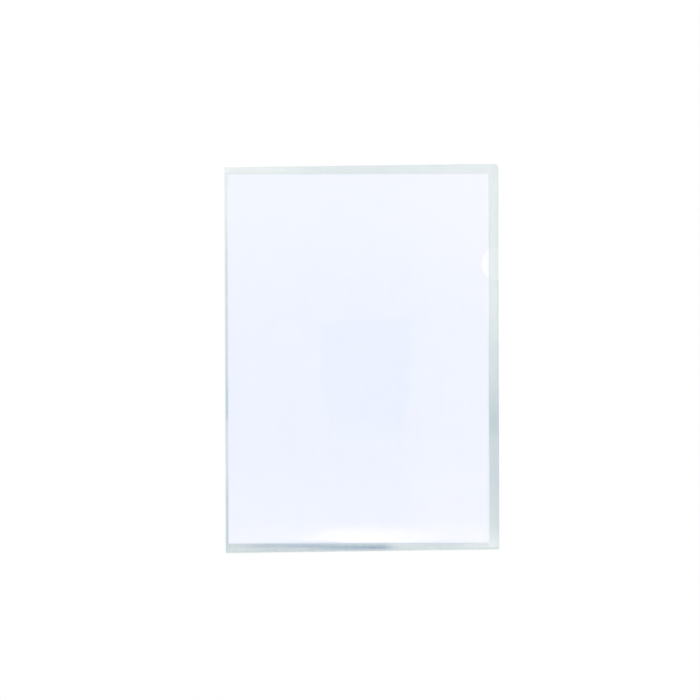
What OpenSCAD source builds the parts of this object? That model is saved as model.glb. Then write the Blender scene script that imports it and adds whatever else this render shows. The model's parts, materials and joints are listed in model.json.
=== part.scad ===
// Clear L-folder: one film folded at the left, welded along the bottom, open at the top and the right.
// It lies flat on its back panel. X runs along the bottom edge, Y up the fold, Z out of the front film.

/* [Folder] */
// Width of the folder, from the fold to the open right edge
folder_w = 220; // [215:0.5:240]
// Height of the folder along the fold
folder_h = 310; // [305:0.5:330]
// How far the top and bottom cuts climb from the fold to the right edge
cut_rise = 2.3; // [0.5:0.1:4]
// Thickness of the film
film_t = 0.2; // [0.12:0.01:0.4]
// Radius of the top right corner
corner_r = 3; // [1:0.5:12]

/* [Bottom weld] */
// Width of the welded strip along the bottom edge
weld_w = 1.6; // [1:0.1:4]

/* [Thumb notch] */
// Radius of the half-round notch in the front film's right edge
notch_r = 14.3; // [8:0.1:20]
// Distance from the top right corner down to the centre of the notch
notch_drop = 80; // [40:1:150]

/* [Sheet] */
// Width of the sheet in the pocket
sheet_w = 210; // [150:0.5:212]
// Height of the sheet in the pocket
sheet_h = 297; // [200:0.5:302]
// Thickness of the sheet
sheet_t = 0.1; // [0.08:0.01:0.3]
// Room between the fold and the sheet's left edge
sheet_left = 1.9; // [1:0.1:6]
// Room between the weld and the sheet's bottom edge, where they are nearest
sheet_low = 3.7; // [1:0.1:8]
// Clearance between the sheet and the back film
clear_back = 0.05; // [0.03:0.01:0.3]
// Clearance between the sheet and the front film
clear_front = 0.1; // [0.05:0.01:0.4]

/* [Peeling corner] */
// Distance from the diagonal between the closed corners to the first bend line
peel_start = 4; // [2:0.5:20]
// Film left on both sides of the thumb notch, in the band that holds it
notch_rim = 2; // [1:0.5:5]

/* [Hidden] */
$fn = 96;

// Stack of the films and the sheet, from the back panel's underside up
pocket = clear_back + sheet_t + clear_front;
sheet_z = film_t + clear_back;
front_z = film_t + pocket;
total_t = front_z + film_t;

// Plan of the folder, centred on its box
left_x = -folder_w / 2;
right_x = folder_w / 2;
low_y = -(folder_h + cut_rise) / 2;
cut_slope = cut_rise / folder_w;
cut_angle = atan(cut_slope);
function bottom_y(x) = low_y + cut_slope * (x - left_x);
function top_y(x) = bottom_y(x) + folder_h;
function weld_y(x) = bottom_y(x) + weld_w / cos(cut_angle);

// Fold: the film turns through half a circle around the pocket's left side
fold_r = total_t / 2;
panel_x = left_x + fold_r;

// Top right corner: a circle that meets the slanted top cut and the right edge
corner_x = right_x - corner_r;
corner_y = top_y(corner_x) - corner_r / cos(cut_angle);
past_cut = 2 * corner_r;

// Lower left corner of the sheet, set off from the fold and from the weld's nearest point
sheet_x = panel_x + sheet_left;
sheet_y = weld_y(sheet_x + sheet_w) + sheet_low;

// The front film's loose half bends along lines parallel to the diagonal between its two closed corners
diagonal_x = right_x - panel_x;
diagonal_y = top_y(panel_x) - weld_y(right_x);
diagonal = norm([diagonal_x, diagonal_y]);
bend_angle = -atan2(diagonal_y, diagonal_x);
function reach(x, y) = (diagonal_y * (x - panel_x) + diagonal_x * (y - top_y(panel_x))) / diagonal;
corner_reach = reach(right_x, top_y(right_x));
zone_span = 3 * diagonal;

// The notch lies whole in one band, with equal bands below it and above it
notch_y = top_y(right_x) - notch_drop;
notch_from = reach(right_x, notch_y) - notch_r - notch_rim;
notch_to = reach(right_x, notch_y + notch_r) + notch_rim;
bands_below = 5;
bands_above = 2;
band_below_w = (notch_from - peel_start) / bands_below;
band_above_w = (corner_reach - notch_to) / bands_above;
bend_lines = [
    for (i = [0 : bands_below]) peel_start + i * band_below_w,
    for (i = [0 : bands_above]) notch_to + i * band_above_w
];
flap_count = len(bend_lines) - 1;

FILM = [0.86, 0.92, 0.94, 0.35];
WELD = [0.80, 0.88, 0.88, 0.6];
PAPER = [0.95, 0.96, 1.0];

// Everything between the fold, the weld, the top cut and the right edge
module panel_outline() {
    difference() {
        polygon([
            [panel_x, weld_y(panel_x)],
            [right_x, weld_y(right_x)],
            [right_x, top_y(right_x)],
            [panel_x, top_y(panel_x)]
        ]);
        corner_waste();
    }
}

// What the rounded corner leaves off
module corner_waste() {
    difference() {
        polygon([
            [corner_x, corner_y],
            [right_x + past_cut, corner_y],
            [right_x + past_cut, corner_y + past_cut],
            [corner_x - past_cut * sin(cut_angle), corner_y + past_cut * cos(cut_angle)]
        ]);
        translate([corner_x, corner_y]) circle(r = corner_r);
    }
}

// The front film's outline, with the thumb notch
module front_outline() {
    difference() {
        panel_outline();
        translate([right_x, notch_y]) circle(r = notch_r);
    }
}

// The band between two distances from the diagonal
module bend_zone(from, to) {
    translate([panel_x, top_y(panel_x)])
        rotate(bend_angle)
            translate([diagonal / 2 - zone_span / 2, from])
                square([zone_span, to - from]);
}

module back_panel() {
    color(FILM)
        linear_extrude(film_t) panel_outline();
}

// Half a tube along the left edge, cut off level with the panels
module fold_edge() {
    color(FILM)
        intersection() {
            linear_extrude(total_t)
                polygon([
                    [left_x, weld_y(left_x)],
                    [panel_x, weld_y(panel_x)],
                    [panel_x, top_y(panel_x)],
                    [left_x, top_y(left_x)]
                ]);
            translate([panel_x, 0, fold_r])
                rotate([90, 0, 0])
                    linear_extrude(2 * folder_h, center = true)
                        difference() {
                            circle(r = fold_r);
                            circle(r = pocket / 2);
                        }
        }
}

// Solid strip with a round outer edge, along the slanted bottom cut
module bottom_weld() {
    color(WELD)
        intersection() {
            translate([left_x, low_y - cut_rise, 0])
                cube([folder_w, 2 * cut_rise + 2 * weld_w, total_t]);
            translate([left_x, low_y, fold_r])
                rotate([90, 0, 90 + cut_angle])
                    linear_extrude(2 * folder_w, center = true)
                        union() {
                            translate([fold_r, 0]) circle(r = fold_r);
                            translate([fold_r, -fold_r]) square([weld_w - fold_r, total_t]);
                        }
        }
}

// The part of the front film that the fold and the weld hold down
module front_panel() {
    color(FILM)
        translate([0, 0, front_z])
            linear_extrude(film_t)
                intersection() {
                    front_outline();
                    bend_zone(-zone_span, peel_start);
                }
}

// One band of the front film's loose half, the first next to the diagonal and the last at the open corner
module front_flap(number) {
    color(FILM)
        translate([0, 0, front_z])
            linear_extrude(film_t)
                intersection() {
                    front_outline();
                    bend_zone(
                        bend_lines[number - 1],
                        number == flap_count ? zone_span : bend_lines[number]
                    );
                }
}

module insert_sheet() {
    color(PAPER)
        translate([sheet_x, sheet_y, sheet_z])
            cube([sheet_w, sheet_h, sheet_t]);
}

back_panel();
fold_edge();
bottom_weld();
front_panel();
front_flap(1);  // front_flap_1
front_flap(2);  // front_flap_2
front_flap(3);  // front_flap_3
front_flap(4);  // front_flap_4
front_flap(5);  // front_flap_5
front_flap(6);  // front_flap_6
front_flap(7);  // front_flap_7
front_flap(8);  // front_flap_8
insert_sheet();
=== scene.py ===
"""Looks of the clear L-folder: thin films, weld and sheet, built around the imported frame, in metres."""
import json
import math

import bmesh
import bpy
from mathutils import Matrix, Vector, noise
from mathutils.geometry import delaunay_2d_cdt

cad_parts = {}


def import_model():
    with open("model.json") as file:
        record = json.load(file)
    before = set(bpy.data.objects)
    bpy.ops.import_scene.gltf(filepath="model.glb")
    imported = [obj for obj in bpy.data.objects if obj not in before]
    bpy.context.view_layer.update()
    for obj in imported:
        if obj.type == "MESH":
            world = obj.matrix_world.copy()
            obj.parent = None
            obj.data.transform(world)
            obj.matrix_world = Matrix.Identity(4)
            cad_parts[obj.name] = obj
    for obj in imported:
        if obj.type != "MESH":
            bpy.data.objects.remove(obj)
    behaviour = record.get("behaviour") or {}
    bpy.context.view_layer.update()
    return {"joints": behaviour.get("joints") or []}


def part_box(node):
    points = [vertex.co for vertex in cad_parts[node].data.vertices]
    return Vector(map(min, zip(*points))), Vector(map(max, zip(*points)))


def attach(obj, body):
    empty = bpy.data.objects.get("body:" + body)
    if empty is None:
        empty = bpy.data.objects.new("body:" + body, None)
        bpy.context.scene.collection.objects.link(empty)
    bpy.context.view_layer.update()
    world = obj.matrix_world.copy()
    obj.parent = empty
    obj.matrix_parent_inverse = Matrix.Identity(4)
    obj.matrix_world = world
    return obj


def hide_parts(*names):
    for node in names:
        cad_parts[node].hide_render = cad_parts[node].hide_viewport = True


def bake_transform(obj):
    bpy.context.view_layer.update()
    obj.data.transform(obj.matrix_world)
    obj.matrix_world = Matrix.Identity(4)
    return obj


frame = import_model()

MM = 0.001

# Sizes that the frame's boxes don't give, as in the part's source
FILM_T = 0.2 * MM
CUT_RISE = 2.3 * MM
CORNER_R = 3 * MM
WELD_W = 1.6 * MM
NOTCH_R = 14.3 * MM
NOTCH_DROP = 80 * MM

# Places from the frame
FOLD_LOW, FOLD_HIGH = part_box("fold_edge")
BACK_LOW, BACK_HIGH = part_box("back_panel")
SHEET_LOW, SHEET_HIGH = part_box("insert_sheet")
WELD_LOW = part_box("bottom_weld")[0]
FRONT_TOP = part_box("front_panel")[1].z
LEFT = FOLD_LOW.x
FOLD_X = BACK_LOW.x
RIGHT = BACK_HIGH.x
CUT_SLOPE = CUT_RISE / (RIGHT - LEFT)
CUT_STRETCH = math.hypot(1, CUT_SLOPE)
BENDS = [j for j in frame["joints"] if j["type"] == "hinge"]
BEND_AXIS = Vector(BENDS[0]["axis"]).normalized()
BEND_ACROSS = Vector((-BEND_AXIS.y, BEND_AXIS.x, 0))


def bottom_y(x):
    return WELD_LOW.y + CUT_SLOPE * (x - LEFT)


def weld_y(x):
    return bottom_y(x) + WELD_W * CUT_STRETCH


def top_y(x):
    return FOLD_HIGH.y + CUT_SLOPE * (x - FOLD_X)


CORNER = Vector((RIGHT - CORNER_R, top_y(RIGHT - CORNER_R) - CORNER_R * CUT_STRETCH))
NOTCH = Vector((RIGHT, top_y(RIGHT) - NOTCH_DROP))
PEEL_ORIGIN = Vector((FOLD_X, top_y(FOLD_X), 0))


def reach(x, y):
    """Distance from the diagonal between the closed corners, towards the open one."""
    return (Vector((x, y, 0)) - PEEL_ORIGIN).dot(BEND_ACROSS)


BEND_REACH = [reach(*j["pos_m"][:2]) for j in BENDS]
CORNER_REACH = reach(RIGHT, top_y(RIGHT))

# The films are cut into pieces halfway between the bend lines, where a bent film is straight
FIRST_BEND_HALF = 3 * MM
BAND_ENDS = BEND_REACH + [CORNER_REACH]
MIDS = [(a + b) / 2 for a, b in zip(BAND_ENDS, BAND_ENDS[1:])]
SEAMS = [BEND_REACH[0] - FIRST_BEND_HALF] + MIDS[:-1]


def smooth(value, start, end):
    """0 before start, 1 after end, with soft ends; start may be the larger."""
    t = min(max((value - start) / (end - start), 0.0), 1.0)
    return t * t * (3 - 2 * t)


def wander(x, y, layer, length, length_y=None):
    """Smooth noise from about -1 to 1 in waves of this length. Each layer has waves of its own."""
    return noise.noise(Vector((x / length, y / (length_y or length), layer)))


# How the front film lies over the sheet and droops past its edges
DRAPE_SLOPE = 0.028
DRAPE_ROUND = 1.2 * MM
EDGE_DROP = 0.03 * MM
EDGE_LENGTH = 0.5 * MM
RIDGE_HEIGHT = 0.004 * MM
RIDGE_LENGTH = 2.3 * MM
RIDGE_WANDER = 40 * MM
RIDGE_LAYER = 1.7 / RIDGE_WANDER

# Waves of both films, and how far past the sheet's edge or within it they fade
WAVE_HEIGHT = 0.012 * MM
WAVE_LENGTH = Vector((55 * MM, 80 * MM))
WAVE_LAYER = 0.3
RIPPLE_HEIGHT = 0.002 * MM
RIPPLE_LENGTH = 16 * MM
RIPPLE_LAYER = 5.1
WAVE_FADE_PAST = (4 * MM, -6 * MM)
BACK_WAVE = 0.022 * MM
BACK_WAVE_LENGTH = 22 * MM
BACK_WAVE_LAYER = 3.1 / BACK_WAVE_LENGTH
BACK_FADE_WITHIN = (2 * MM, 15 * MM)


def rounded(past, rounding):
    """Nothing before zero, then one for one after a rounded start."""
    if past <= 0:
        return 0.0
    if past < rounding:
        return past * past / (2 * rounding)
    return past - rounding / 2


def film_wave(x, y):
    long_wave = wander(x, y, WAVE_LAYER, *WAVE_LENGTH)
    short_wave = wander(x, y, RIPPLE_LAYER, RIPPLE_LENGTH)
    return WAVE_HEIGHT * long_wave + RIPPLE_HEIGHT * short_wave


def front_top(x, y):
    """Height of the front film's upper face."""
    past_low = SHEET_LOW.y - y
    past = max(SHEET_LOW.x - x, x - SHEET_HIGH.x, y - SHEET_HIGH.y, past_low)
    droop = DRAPE_SLOPE * rounded(past, DRAPE_ROUND)
    step = EDGE_DROP * (1 - math.exp(-max(past_low, 0.0) / EDGE_LENGTH))
    turns = past / RIDGE_LENGTH + wander(x, y, RIDGE_LAYER, RIDGE_WANDER)
    ridges = RIDGE_HEIGHT * math.sin(math.tau * turns) * smooth(past, 0, RIDGE_LENGTH)
    return FRONT_TOP - droop - step + ridges + smooth(past, *WAVE_FADE_PAST) * film_wave(x, y)


def back_top(x, y):
    """Height of the back film's upper face: flat on the table at its edges, faintly wavy under the sheet."""
    within = min(x - SHEET_LOW.x, SHEET_HIGH.x - x, y - SHEET_LOW.y, SHEET_HIGH.y - y)
    wave = wander(x, y, BACK_WAVE_LAYER, BACK_WAVE_LENGTH)
    return FILM_T + BACK_WAVE * wave * smooth(within, *BACK_FADE_WITHIN)


# Plan of the films
FINE = 0.6 * MM
COARSE = 3 * MM
EDGE_STEP = 2.4 * MM
ARC_STEP = 0.7 * MM
POINT_GAP = 0.25 * MM
SAME_POINT = 1e-7
SEAM_GAP = 1 * MM
SEAM_PAST = 1 * MM
EDGE_BAND = 6 * MM
RIM_W = 0.4 * MM

# The kind of triangulation that keeps only what lies inside the outline
KEEP_INSIDE = 1


def steps(start, end, step):
    """Even steps from start up to but not including end."""
    count = max(1, round(abs(end - start) / step))
    return [start + (end - start) * i / count for i in range(count)]


def spread(low, high, inner_low, inner_high):
    """Fine steps outside the inner stretch and coarse ones in it."""
    return steps(low, inner_low, FINE) + steps(inner_low, inner_high, COARSE) + steps(inner_high, high, FINE)


def arc(centre, radius, start, end):
    """Points on an arc from start up to but not including end, in radians."""
    count = max(3, round(abs(end - start) * radius / ARC_STEP))
    angles = [start + (end - start) * i / count for i in range(count)]
    return [(centre.x + radius * math.cos(a), centre.y + radius * math.sin(a)) for a in angles]


FOLD_ROWS = steps(weld_y(FOLD_X), top_y(FOLD_X), EDGE_STEP) + [top_y(FOLD_X)]


def free_edges(notched, inset):
    """Points along the film's cut edges, set in by inset, from the lower right corner to the fold."""
    right = RIGHT - inset
    corner_turn = math.pi / 2 + math.atan(CUT_SLOPE)
    corner_end = CORNER.x + CORNER_R * math.cos(corner_turn)
    points = []
    start = weld_y(RIGHT)
    if notched:
        points += [(right, y) for y in steps(start, NOTCH.y - NOTCH_R, EDGE_STEP)]
        points += arc(NOTCH, NOTCH_R + inset, 1.5 * math.pi, 0.5 * math.pi)
        start = NOTCH.y + NOTCH_R
    points += [(right, y) for y in steps(start, CORNER.y, EDGE_STEP)]
    points += arc(CORNER, CORNER_R - inset, 0, corner_turn)
    return points + [(x, top_y(x) - inset * CUT_STRETCH) for x in steps(corner_end, FOLD_X, EDGE_STEP)]


def film_outline(notched):
    """The film's edge in plan, anticlockwise from the lower left corner."""
    weld_edge = [(x, weld_y(x)) for x in steps(FOLD_X, RIGHT, EDGE_STEP)]
    fold_edge = [(FOLD_X, y) for y in reversed(FOLD_ROWS[1:])]
    return weld_edge + free_edges(notched, 0) + fold_edge


def inside(x, y, notched, gap):
    """True if a point of the plan lies on the film, at least gap from its edge."""
    if not (FOLD_X + gap < x < RIGHT - gap and weld_y(x) + gap < y < top_y(x) - gap):
        return False
    if notched and math.dist((x, y), NOTCH) < NOTCH_R + gap:
        return False
    if x > CORNER.x and y > CORNER.y and math.dist((x, y), CORNER) > CORNER_R - gap:
        return False
    return True


def seam_line(distance):
    """Points along the line at this distance from the diagonal, a little past the film at both ends."""
    start = PEEL_ORIGIN + BEND_ACROSS * distance
    span = (BACK_HIGH - BACK_LOW).length
    along = [start + BEND_AXIS * t for t in steps(-span, 2 * span, EDGE_STEP)]
    on_film = [p for p in along if inside(p.x, p.y, True, POINT_GAP)]
    first = on_film[0] - BEND_AXIS * (EDGE_STEP + SEAM_PAST)
    last = on_film[-1] + BEND_AXIS * (EDGE_STEP + SEAM_PAST)
    return [(p.x, p.y) for p in [first] + on_film + [last]]


def plan_triangles(notched, seams):
    """The film's plan as triangles with edges along its outline and its seams."""
    points = film_outline(notched)
    edges = [(i, (i + 1) % len(points)) for i in range(len(points))]
    for distance in seams:
        line = seam_line(distance)
        edges += [(len(points) + i, len(points) + i + 1) for i in range(len(line) - 1)]
        points += line
    rim = free_edges(notched, RIM_W)
    points += [p for p in rim if inside(*p, notched, RIM_W - POINT_GAP)]
    xs = spread(FOLD_X, RIGHT, SHEET_LOW.x + EDGE_BAND, SHEET_HIGH.x - EDGE_BAND)
    ys = spread(weld_y(FOLD_X), top_y(RIGHT), SHEET_LOW.y + EDGE_BAND, SHEET_HIGH.y - EDGE_BAND)
    for x in xs:
        for y in ys:
            at = reach(x, y)
            clear = all(abs(at - distance) > SEAM_GAP for distance in seams)
            if clear and inside(x, y, notched, RIM_W + POINT_GAP):
                points.append((x, y))
    made = delaunay_2d_cdt([Vector(p) for p in points], edges, [], KEEP_INSIDE, SAME_POINT)
    made_points, _, made_faces = made[:3]
    return made_points, made_faces


def edge_counts(faces):
    """How many faces each edge has."""
    counts = {}
    for face in faces:
        for a, b in zip(face, face[1:] + face[:1]):
            key = (min(a, b), max(a, b))
            counts[key] = counts.get(key, 0) + 1
    return counts


def joined_edge(p, q):
    """True for an edge of the plan where the film runs on into the fold or the weld."""
    at_fold = max(p.x, q.x) < FOLD_X + POINT_GAP / 2
    at_weld = all(v.y < weld_y(v.x) + POINT_GAP / 2 for v in (p, q))
    return at_fold or at_weld


def free_rims(points, faces):
    """The edges of the plan where the film was cut."""
    return {
        edge for edge, count in edge_counts(faces).items()
        if count == 1 and not joined_edge(points[edge[0]], points[edge[1]])
    }


def link(name, data):
    obj = bpy.data.objects.new(name, data)
    bpy.context.scene.collection.objects.link(obj)
    return obj


SHARP_ANGLE = math.radians(35)


def finish_mesh(name, bm, *materials):
    """Turns a bmesh into a smooth-shaded object with crisp rims."""
    bmesh.ops.recalc_face_normals(bm, faces=bm.faces)
    mesh = bpy.data.meshes.new(name)
    bm.to_mesh(mesh)
    bm.free()
    mesh.shade_smooth()
    mesh.set_sharp_from_angle(angle=SHARP_ANGLE)
    for material in materials:
        mesh.materials.append(material)
    return link(name, mesh)


def film_piece(name, points, faces, rims, height, material):
    """A film with two faces, FILM_T apart, and walls along its free rims.

    Its material knows the rims by the value rim, which is 1 there."""
    bm = bmesh.new()
    rim = bm.verts.layers.float.new("rim")
    rim_points = {i for edge in rims for i in edge}
    upper, lower = {}, {}
    for i in sorted({i for face in faces for i in face}):
        p = points[i]
        z = height(p.x, p.y)
        upper[i] = bm.verts.new((p.x, p.y, z))
        lower[i] = bm.verts.new((p.x, p.y, z - FILM_T))
        for vert in (upper[i], lower[i]):
            vert[rim] = 1.0 if i in rim_points else 0.0
    for face in faces:
        bm.faces.new([upper[i] for i in face])
        bm.faces.new([lower[i] for i in reversed(face)])
        for a, b in zip(face, face[1:] + face[:1]):
            if (min(a, b), max(a, b)) in rims:
                bm.faces.new([upper[b], upper[a], lower[a], lower[b]]).material_index = 1
    return finish_mesh(name, bm, material, FILM_EDGE)


# Film: how often its streaks and clouds come per metre, how they turn into haze, and its mirror
STREAK_SCALE = (700, 9, 1)
CLOUD_SCALE = (45, 45, 45)
STREAK_BUMP = 0.0015 * MM
CLOUDED = (0.15, 0.4)
HAZE_SHARE = (0.4, 1.6)
HAZE = (0.8, 0.86, 0.88)
MIRROR_LEAST = 0.04
MIRROR_POWER = 5.0
FILM_ROUGHNESS = 0.025

# Painted shade: a streak of deeper tint beside the weld where shade falls, with its depth at places along x
# in millimetres
PAINTED_STREAK_RISE = 1.37 * MM
PAINTED_STREAK_SLOPE = -0.003
PAINTED_STREAK_BEND = 1.25 * MM
PAINTED_STREAK_BEND_X = (-18 * MM, -48 * MM)
PAINTED_STREAK_CORE = 0.4 * MM
PAINTED_STREAK_HALF = 2.4 * MM
PAINTED_STREAK_DEPTHS = (
    (-110, 0.12), (-90, 0.5), (-40, 0.64), (-10, 0.66), (8, 1.0),
    (15, 0.95), (20, 0.58), (31, 0.1), (45, 0.0)
)

# Paper: how often its mottle and fibres come per metre, and the two colours between which it varies
MOTTLE_SCALE = (260, 260, 260)
FIBRE_SCALE = (1900, 900, 900)
FIBRE_BUMP = 0.02 * MM
FIBRE_STRENGTH = 0.35
PAPER_COLOURS = ((0.3, (0.866, 0.863, 0.965)), (0.7, (0.884, 0.881, 0.981)))
PAPER_ROUGHNESS = (0.8, 0.95)
PAPER_SHINE = 0.2


def node_adder(owner):
    """Clears the nodes of a material or world and gives the function that adds one.

    An input is named by its label, with _ for a space, or by _ and its number."""
    owner.use_nodes = True
    tree = owner.node_tree
    tree.nodes.clear()

    def add(kind, settings=None, **inputs):
        made = tree.nodes.new(kind)
        for key, value in (settings or {}).items():
            setattr(made, key, value)
        for key, value in inputs.items():
            number = key[1:]
            socket = made.inputs[int(number) if number.isdigit() else key.replace("_", " ")]
            if isinstance(value, bpy.types.NodeSocket):
                tree.links.new(value, socket)
            else:
                socket.default_value = value
        return made

    return add


def new_material(name):
    material = bpy.data.materials.new(name)
    return material, node_adder(material)


def maths(add, operation, *values):
    """The result of a maths node on sockets or numbers."""
    inputs = {f"_{i}": value for i, value in enumerate(values)}
    return add("ShaderNodeMath", {"operation": operation}, **inputs).outputs[0]


def remap(add, value, start, end, low=0.0, high=1.0, soft=False):
    """Low at start, high at end, and no further."""
    kind = {"interpolation_type": "SMOOTHSTEP" if soft else "LINEAR"}
    return add(
        "ShaderNodeMapRange", kind, Value=value, From_Min=start, From_Max=end, To_Min=low, To_Max=high
    ).outputs[0]


def noise_share(add, scale, detail):
    """A noise pattern in object coordinates, scaled differently along each axis."""
    place = add("ShaderNodeTexCoord").outputs["Object"]
    place = add("ShaderNodeMapping", Vector=place, Scale=scale).outputs["Vector"]
    return add("ShaderNodeTexNoise", Vector=place, Scale=1.0, Detail=detail).outputs["Fac"]


def colour_ramp(add, share, stops):
    """A colour that changes with share, given as stops of a place and a colour."""
    ramp = add("ShaderNodeValToRGB", Fac=share)
    elements = ramp.color_ramp.elements
    while len(elements) < len(stops):
        elements.new(1.0)
    for element, (place, colour) in zip(elements, stops):
        element.position = place
        element.color = (*colour, 1)
    return ramp.outputs["Color"]


def object_place(add):
    """The X and Y of a point of the object."""
    place = add("ShaderNodeSeparateXYZ", Vector=add("ShaderNodeTexCoord").outputs["Object"])
    return place.outputs["X"], place.outputs["Y"]


def painted_shade_depth(add):
    """Depth of the painted shade streak beside the weld at each place along it: 1 where it is deepest."""
    along, _ = object_place(add)
    stops = [((x * MM - LEFT) / (RIGHT - LEFT), (depth, depth, depth)) for x, depth in PAINTED_STREAK_DEPTHS]
    return colour_ramp(add, remap(add, along, LEFT, RIGHT), stops)


def painted_shade_share(add):
    """Depth of the painted shade streak between the weld and the sheet, which bends up to the sheet on the
    left.
    """
    along, height = object_place(add)
    bend = remap(add, along, *PAINTED_STREAK_BEND_X, 0.0, PAINTED_STREAK_BEND)
    line = maths(add, "MULTIPLY_ADD", along, PAINTED_STREAK_SLOPE, bend)
    level = maths(add, "SUBTRACT", height, line)
    middle = weld_y(0) + PAINTED_STREAK_RISE
    off = maths(add, "ABSOLUTE", maths(add, "SUBTRACT", level, middle))
    across = remap(add, off, PAINTED_STREAK_HALF, PAINTED_STREAK_CORE, soft=True)
    return maths(add, "MULTIPLY", across, painted_shade_depth(add))


def film_material(
    name, tint, haze, haze_colour=HAZE, roughness=FILM_ROUGHNESS, painted_shade=None, rim_haze=None
):
    """Clear film: a tint that is seen through, a share of haze in fine streaks, and a mirror that grows
    as the film turns away.

    A deeper tint can be painted in beside the weld as shade, given with the function that says how deep it
    is, and rim_haze is the haze that the cut leaves along its free edges."""
    material, add = new_material(name)
    streaks = noise_share(add, STREAK_SCALE, detail=2.0)
    cloud = noise_share(add, CLOUD_SCALE, detail=3.0)
    low, high = (share * haze for share in HAZE_SHARE)
    milky = remap(add, maths(add, "MULTIPLY", streaks, cloud), *CLOUDED, low, high)
    if rim_haze:
        rim = add("ShaderNodeAttribute", {"attribute_name": "rim"}).outputs["Fac"]
        milky = maths(add, "MULTIPLY_ADD", rim, rim_haze, milky)
    colour = (*tint, 1)
    if painted_shade:
        shade_tint, share = painted_shade
        mixed = add("ShaderNodeMix", {"data_type": "RGBA"}, _0=share(add), _6=colour, _7=(*shade_tint, 1))
        colour = mixed.outputs[2]
    clear = add("ShaderNodeBsdfTransparent", Color=colour).outputs[0]
    milk = add("ShaderNodeBsdfDiffuse", Color=(*haze_colour, 1)).outputs[0]
    body = add("ShaderNodeMixShader", _0=milky, _1=clear, _2=milk).outputs[0]
    bump = add("ShaderNodeBump", Strength=1.0, Distance=STREAK_BUMP, Height=streaks).outputs["Normal"]
    gloss = add("ShaderNodeBsdfGlossy", Color=(1, 1, 1, 1), Roughness=roughness, Normal=bump).outputs[0]
    facing = add("ShaderNodeLayerWeight", Blend=0.5).outputs["Facing"]
    turned = maths(add, "POWER", facing, MIRROR_POWER)
    mirror = maths(add, "MULTIPLY_ADD", turned, 1 - MIRROR_LEAST, MIRROR_LEAST)
    surface = add("ShaderNodeMixShader", _0=mirror, _1=body, _2=gloss).outputs[0]
    add("ShaderNodeOutputMaterial", Surface=surface)
    return material


def paper_material():
    """Bright white office paper with a blue cast, a faint mottle and a fibrous surface."""
    material, add = new_material("office_paper")
    mottle = noise_share(add, MOTTLE_SCALE, detail=4.0)
    fibres = noise_share(add, FIBRE_SCALE, detail=5.0)
    bump = add("ShaderNodeBump", Strength=FIBRE_STRENGTH, Distance=FIBRE_BUMP, Height=fibres)
    surface = add(
        "ShaderNodeBsdfPrincipled",
        Base_Color=colour_ramp(add, mottle, PAPER_COLOURS),
        Roughness=remap(add, fibres, 0.0, 1.0, *PAPER_ROUGHNESS),
        Specular_IOR_Level=PAPER_SHINE,
        Normal=bump.outputs["Normal"],
    ).outputs[0]
    add("ShaderNodeOutputMaterial", Surface=surface)
    return material


# Materials
# Painted shade: the streak beside the weld is a deeper tint painted into the back film and the weld where
# shade falls
BACK_PAINTED_SHADE = ((0.826, 0.862, 0.918), painted_shade_share)
WELD_PAINTED_SHADE = ((0.851, 0.885, 0.907), painted_shade_depth)
WELD_HAZE = (0.7, 0.78, 0.78)
EDGE_HAZE = (0.55, 0.7, 0.75)
FRONT_FILM = film_material("front_film", (0.97, 0.986, 0.9915), haze=0.007, rim_haze=0.05)
# The back film's tint is partly the film's own and, where it is deeper than the front film's, painted shade
# where it lies on the table
SHADED_BACK_FILM = film_material("back_film", (0.925, 0.954, 0.963), haze=0.012, painted_shade=BACK_PAINTED_SHADE)
FOLD_FILM = film_material("fold_film", (0.908, 0.935, 0.955), haze=0.012)
WELD_FILM = film_material(
    "weld", (0.903, 0.931, 0.942), haze=0.1, haze_colour=WELD_HAZE, roughness=0.12, painted_shade=WELD_PAINTED_SHADE
)
FILM_EDGE = film_material("film_edge", (0.86, 0.93, 0.95), haze=0.6, haze_colour=EDGE_HAZE, roughness=0.3)
PAPER = paper_material()


# Pieces
def back_film():
    points, faces = plan_triangles(False, [])
    piece = film_piece("film_back", points, faces, free_rims(points, faces), back_top, SHADED_BACK_FILM)
    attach(piece, "folder")
    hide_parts("back_panel")


def front_film():
    """The front film as one plan, cut at the seams into a base and one piece for each bend line."""
    points, faces = plan_triangles(True, SEAMS)
    rims = free_rims(points, faces)
    groups = [[] for _ in range(len(SEAMS) + 1)]
    for face in faces:
        middle = sum((points[i] for i in face), Vector((0, 0))) / len(face)
        groups[sum(reach(*middle) > seam for seam in SEAMS)].append(face)
    base = film_piece("film_front_base", points, groups[0], rims, front_top, FRONT_FILM)
    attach(base, "folder")
    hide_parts("front_panel")
    for number, bend in enumerate(BENDS, start=1):
        piece = film_piece(f"film_front_band_{number}", points, groups[number], rims, front_top, FRONT_FILM)
        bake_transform(piece)
        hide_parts(f"front_flap_{number}")


FOLD_SEGMENTS = 14


def fold():
    """The film's half-round turn from the back to the front, along the left edge."""
    bm = bmesh.new()
    rings = []
    for y in FOLD_ROWS:
        radius = front_top(FOLD_X, y) / 2
        turns = [math.pi * (1.5 - i / FOLD_SEGMENTS) for i in range(FOLD_SEGMENTS + 1)]
        ring = []
        for size, order in ((radius, turns), (radius - FILM_T, reversed(turns))):
            for turn in order:
                place = (FOLD_X + size * math.cos(turn), y, radius + size * math.sin(turn))
                ring.append(bm.verts.new(place))
        rings.append(ring)
    count = len(rings[0])
    seams = (FOLD_SEGMENTS, count - 1)
    for low, high in zip(rings, rings[1:]):
        for i in range(count):
            if i not in seams:
                j = (i + 1) % count
                bm.faces.new([low[i], low[j], high[j], high[i]])
    for ring in (rings[0], rings[-1]):
        for i in range(FOLD_SEGMENTS):
            end = bm.faces.new([ring[i], ring[i + 1], ring[count - 2 - i], ring[count - 1 - i]])
            end.material_index = 1
    piece = finish_mesh("film_fold", bm, FOLD_FILM, FILM_EDGE)
    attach(piece, "folder")
    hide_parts("fold_edge")


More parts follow.
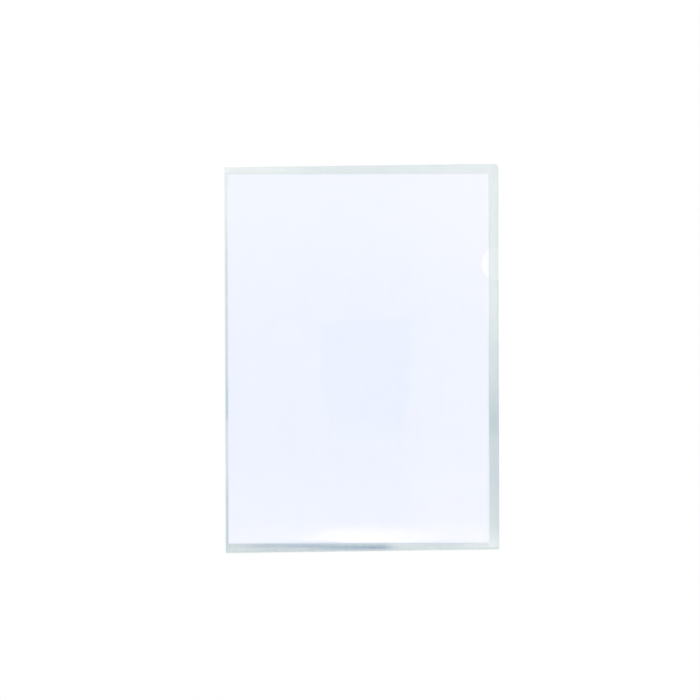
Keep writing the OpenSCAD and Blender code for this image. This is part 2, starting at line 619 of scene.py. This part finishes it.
WELD_STEP = 0.7 * MM
WELD_CREST = 0.05 * MM
WELD_RIPPLE = 0.04 * MM
WELD_RIPPLE_LENGTH = 2.4 * MM
WELD_RIPPLE_LAYER = 0.4
WELD_RIPPLE_ROW = 2.7 * WELD_RIPPLE_LENGTH
WELD_END_ROUND = 0.5 * MM
WELD_END_INSET = 0.35 * MM
WELD_PROFILE_STEPS = 10

# Places across the weld's top, as shares of its width, and the share of the crest's height there
WELD_CREST_SHAPE = ((0.45, 0.7), (0.62, 1.0), (0.82, 0.6), (1.0, 0.0))


def weld_profile(x):
    """The weld's section at x, as points of a place across it from its outer edge and a height."""
    inner_x = max(x, FOLD_X)
    inner_top = front_top(inner_x, weld_y(inner_x))
    uneven = WELD_RIPPLE * wander(x, WELD_RIPPLE_ROW, WELD_RIPPLE_LAYER, WELD_RIPPLE_LENGTH)
    end_gap = min(x - LEFT, RIGHT - x)
    set_in = WELD_END_INSET * (1 - smooth(end_gap, 0, WELD_END_ROUND)) + abs(uneven) / 2
    half = inner_top / 2
    turns = [math.pi * (1.5 - i / WELD_PROFILE_STEPS) for i in range(WELD_PROFILE_STEPS + 1)]
    edge = [(set_in + half + half * math.cos(turn), half + half * math.sin(turn)) for turn in turns]
    crest = WELD_CREST + uneven
    top = [(across * WELD_W, inner_top + crest * share) for across, share in WELD_CREST_SHAPE]
    return [(WELD_W, 0.0)] + edge + top


def weld():
    """The melted bead along the bottom edge: round outside, a little raised and uneven on top."""
    bm = bmesh.new()
    rings = []
    for x in steps(LEFT, RIGHT, WELD_STEP) + [RIGHT]:
        rings.append([bm.verts.new((x, bottom_y(x) + v * CUT_STRETCH, z)) for v, z in weld_profile(x)])
    for near, far in zip(rings, rings[1:]):
        for i in range(len(near)):
            j = (i + 1) % len(near)
            bm.faces.new([near[i], far[i], far[j], near[j]])
    bm.faces.new(rings[0])
    bm.faces.new(list(reversed(rings[-1])))
    piece = finish_mesh("weld_bead", bm, WELD_FILM)
    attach(piece, "folder")
    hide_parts("bottom_weld")


SHEET_STEP = 6 * MM
SHEET_WAVE = 0.02 * MM
SHEET_WAVE_LENGTH = 60 * MM
SHEET_WAVE_LAYER = 0.5 / SHEET_WAVE_LENGTH
SHEET_EDGE = 0.02 * MM


def sheet_places(low, high):
    """Places across the sheet, with one more close to each edge, where its crushed rim begins."""
    inner_low, inner_high = low + SHEET_EDGE, high - SHEET_EDGE
    return [low] + steps(inner_low, inner_high, SHEET_STEP) + [inner_high, high]


def rim_loop(rows):
    """The outer ones of a grid of vertices, in order around it."""
    low = [row[0] for row in rows]
    high = [row[-1] for row in reversed(rows[:-1])]
    return low + rows[-1][1:] + high + list(reversed(rows[0][1:-1]))


def sheet():
    """The A4 sheet: nearly flat, with a faint wave and a slightly crushed cut edge."""
    bm = bmesh.new()
    xs = sheet_places(SHEET_LOW.x, SHEET_HIGH.x)
    ys = sheet_places(SHEET_LOW.y, SHEET_HIGH.y)
    middle = (SHEET_LOW.z + SHEET_HIGH.z) / 2
    half = (SHEET_HIGH.z - SHEET_LOW.z) / 2
    rims = []
    for side in (1, -1):
        rows = []
        for x in xs:
            row = []
            for y in ys:
                at_rim = x in (xs[0], xs[-1]) or y in (ys[0], ys[-1])
                wave = SHEET_WAVE * wander(x, y, SHEET_WAVE_LAYER, SHEET_WAVE_LENGTH)
                rise = side * (half - SHEET_EDGE if at_rim else half)
                row.append(bm.verts.new((x, y, middle + wave + rise)))
            rows.append(row)
        for a, b in zip(rows, rows[1:]):
            for i in range(len(a) - 1):
                quad = [a[i], b[i], b[i + 1], a[i + 1]]
                bm.faces.new(quad if side > 0 else list(reversed(quad)))
        rims.append(rim_loop(rows))
    upper, lower = rims
    for i in range(len(upper)):
        j = (i + 1) % len(upper)
        bm.faces.new([upper[i], lower[i], lower[j], upper[j]])
    piece = finish_mesh("paper_sheet", bm, PAPER)
    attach(piece, "sheet")
    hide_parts("insert_sheet")


back_film()
front_film()
fold()
weld()
sheet()

# Floor and world
FLOOR_DROP = 0.1 * MM
FLOOR_HALF = 6.0
FLOOR_NEAR = 0.5
FLOOR_FAR = 1.5
FLOOR_GLOW_NEAR = 0.3
FLOOR_COLOUR = (0.90, 0.90, 0.90, 1)
WORLD_LEVEL = 0.92


def camera_or_mirror_ray(add):
    """1 for rays from the camera, mirrors and glass, which see the white background."""
    path = add("ShaderNodeLightPath").outputs
    both = maths(add, "MAXIMUM", path["Is Camera Ray"], path["Is Glossy Ray"])
    return maths(add, "MAXIMUM", both, path["Is Transmission Ray"])


def floor():
    """A white floor that keeps the shadow near the folder and runs into the white background further off."""
    material, add = new_material("white_floor")
    place = add("ShaderNodeTexCoord").outputs["Object"]
    away = add("ShaderNodeVectorMath", {"operation": "LENGTH"}, _0=place).outputs["Value"]
    glow = remap(add, away, FLOOR_NEAR, FLOOR_FAR, FLOOR_GLOW_NEAR, 1.0, soft=True)
    share = maths(add, "MULTIPLY", camera_or_mirror_ray(add), glow)
    lit = add("ShaderNodeBsdfDiffuse", Color=FLOOR_COLOUR).outputs[0]
    white = add("ShaderNodeEmission", Color=(1, 1, 1, 1), Strength=1.0).outputs[0]
    surface = add("ShaderNodeMixShader", _0=share, _1=lit, _2=white).outputs[0]
    add("ShaderNodeOutputMaterial", Surface=surface)
    bm = bmesh.new()
    bmesh.ops.create_grid(bm, x_segments=1, y_segments=1, size=FLOOR_HALF)
    bmesh.ops.translate(bm, verts=bm.verts, vec=(0, 0, -FLOOR_DROP))
    finish_mesh("floor", bm, material)


def world():
    made = bpy.data.worlds.new("studio")
    add = node_adder(made)
    strength = remap(add, camera_or_mirror_ray(add), 0.0, 1.0, WORLD_LEVEL, 1.0)
    white = add("ShaderNodeBackground", Color=(1, 1, 1, 1), Strength=strength).outputs[0]
    add("ShaderNodeOutputWorld", Surface=white)
    bpy.context.scene.world = made


# Height of the camera over the front film, in metres, and of the overhead card beside it
CAMERA_HEIGHT = 1.5
CARD_HEIGHT = FRONT_TOP + CAMERA_HEIGHT

# The overhead card, in millimetres: its sides and the borders between its middle and its four outer zones
WARM_WHITE = (1.0, 0.8, 0.68)
CARD_X = (-430, -206, 213, 430)
CARD_Y = (-430, -304, 293, 430)
CARD_STEP = 8
CARD_BORDER = 1

# Brightness of the middle, which the film over the sheet mirrors. A rise comes between two places
MIDDLE_LEVEL = 1.2
MIDDLE_ACROSS = ((0.3, 0, 200),)
MIDDLE_UP = ((0.46, 20, 290), (0.32, -150, -270), (0.35, -262, -290))
MIDDLE_PATCHES = ((0.2, (60, 150), (-262, -290)), (-0.1, (-20, 60), (-205, -235)))
MIDDLE_STRIPE = ((0.12, 78, 92, 110, 250),)
MIDDLE_STRIPE_Y = (-136, -150)
GLOW_LEVEL = 1.5
GLOW_AT = (13, -306)
GLOW_SIZE = (150, 38)
GLOW_CORE = 0.25

# Brightness of the outer zones, which the margins mirror. A band comes and goes between four places
RIGHT_LEVEL = 0.05
RIGHT_UP = (
    (0.72, -106, -41), (0.95, -60, 110), (0.12, 200, 300),
    (0.38, -122, -142), (0.34, -190, -250), (0.62, -276, -288), (0.5, -300, -312)
)
RIGHT_SHARE = 0.98
RIGHT_NEAR = 0.17
RIGHT_NEAR_X = (262, 236)
RIGHT_NEAR_UP = ((-0.15, 285, 292),)
RIGHT_NEAR_BANDS = ((-0.2, 110, 122, 166, 178),)
RIGHT_STREAKS = 0.2
LEFT_LEVEL = 0.75
LEFT_UP = ((0.25, -10, 90), (1.25, 110, 255), (-0.33, -200, -240))
LEFT_BANDS = ((-0.4, 264, 272, 290, 300), (-0.75, -16, -80, -90, -116), (0.42, -92, -128, -175, -215))
HIGH_LEVEL = 1.55
HIGH_ACROSS = ((0.45, -70, -105), (0.3, 20, 220))
HIGH_STREAKS = 0.15
STREAK_PITCH = 6.5
LOW_ACROSS = (
    (0.48, -20, -125), (0.5, -140, -185), (0.1, -175, -205),
    (1.17, 44, 62), (-0.2, 85, 125), (0.65, 140, 200)
)

# The darker card just below it, as pairs of points on its left and right sides from the top down
SHADE_GAP = 1
SHADE_COLOUR = (0.98, 0.95, 0.72)
SHADE_OUTLINE = (
    (-59, 50), (88, 60), (-54, -54), (85, -54), (-39, -102), (84, -102), (-22, -140), (82, -140)
)
SHADE_LEVEL = 0.9
SHADE_END_LEVEL = 1.2


def rises(at, soft_steps):
    """The sum of soft steps, each given as its rise and the two places between which it comes."""
    return sum(rise * smooth(at, start, end) for rise, start, end in soft_steps)


def bands(at, soft_bands):
    """The sum of soft bands, each given as its rise, where it starts, is full, is full still and ends."""
    return sum(
        rise * smooth(at, start, full) * smooth(at, end, full_end)
        for rise, start, full, full_end, end in soft_bands
    )


def streaked(depth, at):
    """A share that goes up and down around 1 by depth."""
    return 1 + depth * math.sin(at / STREAK_PITCH)


def middle_level(x, y):
    lit = MIDDLE_LEVEL + rises(x, MIDDLE_ACROSS) + rises(y, MIDDLE_UP)
    lit += sum(rise * smooth(x, *across) * smooth(y, *up) for rise, across, up in MIDDLE_PATCHES)
    lit += bands(x, MIDDLE_STRIPE) * smooth(y, *MIDDLE_STRIPE_Y)
    from_glow = math.hypot((x - GLOW_AT[0]) / GLOW_SIZE[0], (y - GLOW_AT[1]) / GLOW_SIZE[1])
    return lit + GLOW_LEVEL * smooth(from_glow, 1, GLOW_CORE)


def right_level(x, y):
    near = RIGHT_NEAR + rises(y, RIGHT_NEAR_UP) + bands(y, RIGHT_NEAR_BANDS)
    share = RIGHT_SHARE + smooth(x, *RIGHT_NEAR_X) * near
    return (RIGHT_LEVEL + rises(y, RIGHT_UP)) * share * streaked(RIGHT_STREAKS, x)


def card_level(x, y):
    """Brightness of the overhead card at a place in millimetres, as the film mirrors it."""
    if CARD_X[1] < x < CARD_X[2] and CARD_Y[1] < y < CARD_Y[2]:
        return middle_level(x, y)
    if x > CARD_X[2]:
        return right_level(x, y)
    if x < CARD_X[1]:
        return LEFT_LEVEL + rises(y, LEFT_UP) + bands(y, LEFT_BANDS)
    if y > CARD_Y[2]:
        return (HIGH_LEVEL + rises(x, HIGH_ACROSS)) * streaked(HIGH_STREAKS, y)
    return rises(x, LOW_ACROSS)


def card_steps(places):
    """Places across the card, close together at both sides of each border between its zones."""
    low, left, right, high = places
    half = CARD_BORDER / 2
    return (
        steps(low, left - half, CARD_STEP) + [left - half] + steps(left + half, right - half, CARD_STEP)
        + [right - half] + steps(right + half, high, CARD_STEP) + [high]
    )


def card(name, colour, points, faces, levels, sheer=False):
    """A glowing card that only mirrors see, with points in millimetres and a level at each.

    A sheer card adds its glow to what lies behind it."""
    material, add = new_material(name)
    level = add("ShaderNodeAttribute", {"attribute_name": "level"}).outputs["Fac"]
    glow = add("ShaderNodeEmission", Color=(*colour, 1), Strength=level).outputs[0]
    if sheer:
        behind = add("ShaderNodeBsdfTransparent", Color=(1, 1, 1, 1)).outputs[0]
        glow = add("ShaderNodeAddShader", _0=behind, _1=glow).outputs[0]
    add("ShaderNodeOutputMaterial", Surface=glow)
    mesh = bpy.data.meshes.new(name)
    mesh.from_pydata([Vector(p) * MM for p in points], [], faces)
    mesh.materials.append(material)
    attribute = mesh.attributes.new("level", "FLOAT", "POINT")
    for item, value in zip(attribute.data, levels):
        item.value = value
    obj = link(name, mesh)
    obj.visible_camera = False
    obj.visible_diffuse = False
    obj.visible_transmission = False
    obj.visible_volume_scatter = False
    obj.visible_shadow = False


def grid_faces(columns, rows):
    """Quads between points that are listed column by column."""
    return [
        (i * rows + j, (i + 1) * rows + j, (i + 1) * rows + j + 1, i * rows + j + 1)
        for i in range(columns - 1) for j in range(rows - 1)
    ]


def overhead_cards():
    """The large soft card, and below it a darker one that the film over the sheet mirrors as a dim patch."""
    height = CARD_HEIGHT / MM
    xs = card_steps(CARD_X)
    ys = card_steps(CARD_Y)
    points = [(x, y, height) for x in xs for y in ys]
    levels = [card_level(x, y) for x, y, _ in points]
    card("overhead_card", WARM_WHITE, points, grid_faces(len(xs), len(ys)), levels)
    points = [(x, y, height - SHADE_GAP) for x, y in SHADE_OUTLINE]
    levels = [SHADE_LEVEL] * (len(points) - 2) + [SHADE_END_LEVEL] * 2
    card("camera_shade", SHADE_COLOUR, points, grid_faces(len(points) // 2, 2), levels)


# Flags around the table, in millimetres
FLAG_RADIUS = 2500
FLAG_TOP = 3200
FLAG_COLUMNS = 48
FLAG_ROWS = 16
FLAG_COUNT = 3
FLAG_TURN = 0.6
FLAG_SHADE = 0.6
FLAG_FOOT = (100, 600)
FLAG_HEAD = (FLAG_TOP, 0.6 * FLAG_TOP)


def flags():
    """Soft dark flags in a ring around the table, so that the clear film shows its shape from the sides."""
    turns = [math.tau * i / FLAG_COLUMNS for i in range(FLAG_COLUMNS + 1)]
    heights = [FLAG_TOP * i / FLAG_ROWS for i in range(FLAG_ROWS + 1)]
    points, levels = [], []
    for turn in turns:
        round_shade = 0.5 - 0.5 * math.cos(FLAG_COUNT * turn + FLAG_TURN)
        for height in heights:
            points.append((FLAG_RADIUS * math.cos(turn), FLAG_RADIUS * math.sin(turn), height))
            high_shade = smooth(height, *FLAG_FOOT) * smooth(height, *FLAG_HEAD)
            levels.append(1 - FLAG_SHADE * round_shade * high_shade)
    card("flags", (1, 1, 1), points, grid_faces(len(turns), len(heights)), levels)


# Lamps, in metres, and the sheen that mirrors see in their place, in millimetres
KEY_PLACE = (-0.9, 0.8, 1.5)
KEY_SIZE = 0.9
KEY_POWER = 7.0
FILL_PLACE = (1.1, -0.5, 1.4)
FILL_SIZE = 1.0
FILL_POWER = 3.5
SHEEN_HALF = 750
SHEEN_STEPS = 24
SHEEN_LEVEL = 1.6


def lamp(name, place, size, power):
    """A soft lamp. Mirrors see a sheen that fades towards its rim instead of the lamp's hard outline."""
    light = bpy.data.lights.new(name, "AREA")
    light.size = size
    light.energy = power
    obj = link(name, light)
    obj.location = place
    turn = (-Vector(place)).to_track_quat("-Z", "Y")
    obj.rotation_euler = turn.to_euler()
    obj.visible_glossy = False
    across = [SHEEN_HALF * (2 * i / SHEEN_STEPS - 1) for i in range(SHEEN_STEPS + 1)]
    flat = [Vector((u, v, 0)) for u in across for v in across]
    points = [Vector(place) / MM + turn @ p for p in flat]
    levels = [SHEEN_LEVEL * smooth(p.length, SHEEN_HALF, 0) for p in flat]
    card(f"{name}_sheen", (1, 1, 1), points, grid_faces(len(across), len(across)), levels, sheer=True)


# Camera: straight down, framed as the photograph is
PHOTO_PX = 700
PX_PER_M = 1243.7
FOLDER_PX = Vector((361.9, 358.5))
ROLL = math.radians(-0.17)
SENSOR_W = 36


def camera():
    data = bpy.data.cameras.new("camera")
    data.sensor_width = SENSOR_W
    data.lens = SENSOR_W * CAMERA_HEIGHT / (PHOTO_PX / PX_PER_M)
    obj = link("camera", data)
    off = (FOLDER_PX - Vector((PHOTO_PX / 2, PHOTO_PX / 2))) / PX_PER_M
    obj.location = (-off.x, off.y, CARD_HEIGHT)
    obj.rotation_euler = (0, 0, ROLL)
    bpy.context.scene.camera = obj


# How many clear faces a ray may pass
CLEAR_FACES = 32

floor()
overhead_cards()
flags()
lamp("key", KEY_PLACE, KEY_SIZE, KEY_POWER)
lamp("fill", FILL_PLACE, FILL_SIZE, FILL_POWER)
world()
camera()
scene = bpy.context.scene
scene.view_settings.view_transform = "Standard"
scene.cycles.transparent_max_bounces = CLEAR_FACES
